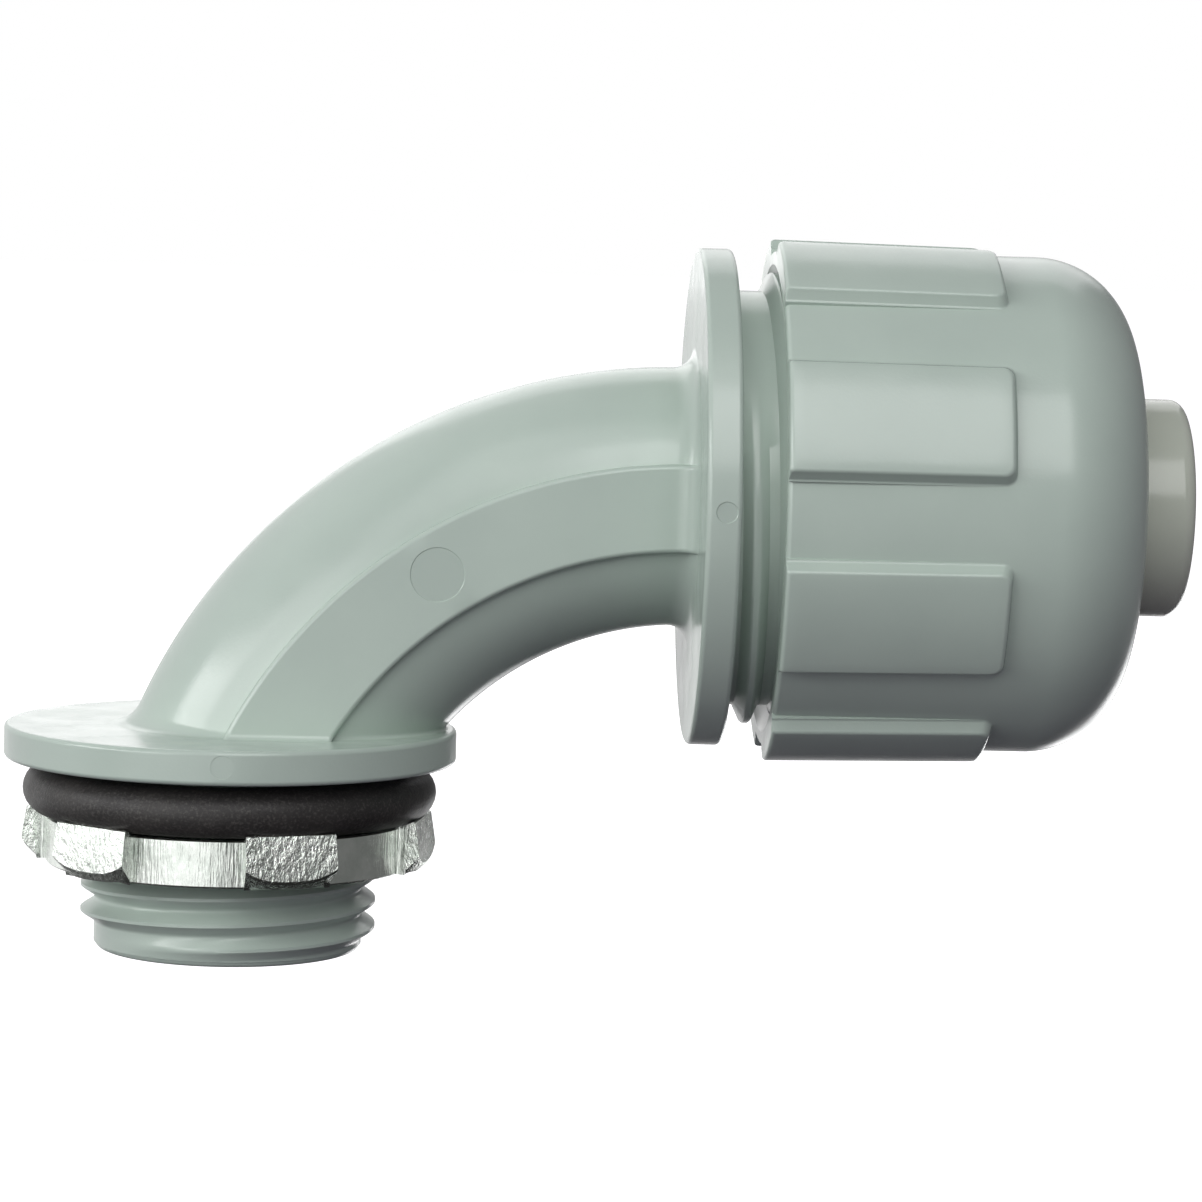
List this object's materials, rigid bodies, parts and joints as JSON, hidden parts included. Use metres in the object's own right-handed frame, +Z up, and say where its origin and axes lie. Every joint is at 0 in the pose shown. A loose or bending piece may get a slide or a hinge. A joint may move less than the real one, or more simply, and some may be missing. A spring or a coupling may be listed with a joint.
{
  "type": "liquidtight conduit connector",
  "caption": "Right-angle liquidtight conduit connector: curved plastic elbow with a threaded spud, sealing ring and metal locknut at the foot, and a ribbed compression nut over an inner sleeve.",
  "frame": {"origin": "on the spud's axis, at the lower flange's underside, which seats on the box wall", "axes": "+Z up along the spud's axis, away from the box; +X along the gland's axis, out of the conduit hole; the part is symmetric about the XZ plane apart from its threads and the nuts' turned positions"},
  "size_m": [0.0831, 0.0368, 0.0512],
  "materials": {
    "grey_nylon": "pale grey-green moulded nylon, satin",
    "sleeve_nylon": "darker grey-green moulded nylon, satin",
    "ring_nylon": "natural moulded nylon",
    "seal_rubber": "black moulded rubber",
    "zinc_steel": "zinc plated, stamped, bright with sheared edges"
  },
  "bodies": {
    "connector": {"elbow_body": "grey_nylon", "ferrule": "sleeve_nylon"},
    "seal": {"o_ring": "seal_rubber"},
    "locknut": {"locknut": "zinc_steel"},
    "gland_ring": {"compression_ring": "ring_nylon"},
    "gland_nut": {"compression_nut": "grey_nylon"}
  },
  "joints": [
    {"name": "seal_slide", "type": "slide", "parent": "connector", "child": "seal", "axis": [0, 0, -1], "range_m": [-0.00001, 0.00908]},
    {"name": "locknut_turn", "type": "hinge", "parent": "seal", "child": "locknut", "pos_m": [0, 0, -0.0056], "axis": [0, 0, -1], "range_deg": [0, 1800]},
    {"name": "gland_ring_slide", "type": "slide", "parent": "connector", "child": "gland_ring", "axis": [1, 0, 0], "range_m": [-0.00241, 0.01301]},
    {"name": "gland_nut_turn", "type": "hinge", "parent": "gland_ring", "child": "gland_nut", "pos_m": [0.05, 0, 0.01937], "axis": [1, 0, 0], "range_deg": [-345.6, 1872]}
  ],
  "couplings": [
    {"joint": "seal_slide", "follows": "locknut_turn", "m_per_rad": 0.00028871},
    {"joint": "gland_ring_slide", "follows": "gland_nut_turn", "m_per_rad": 0.00039789}
  ]
}
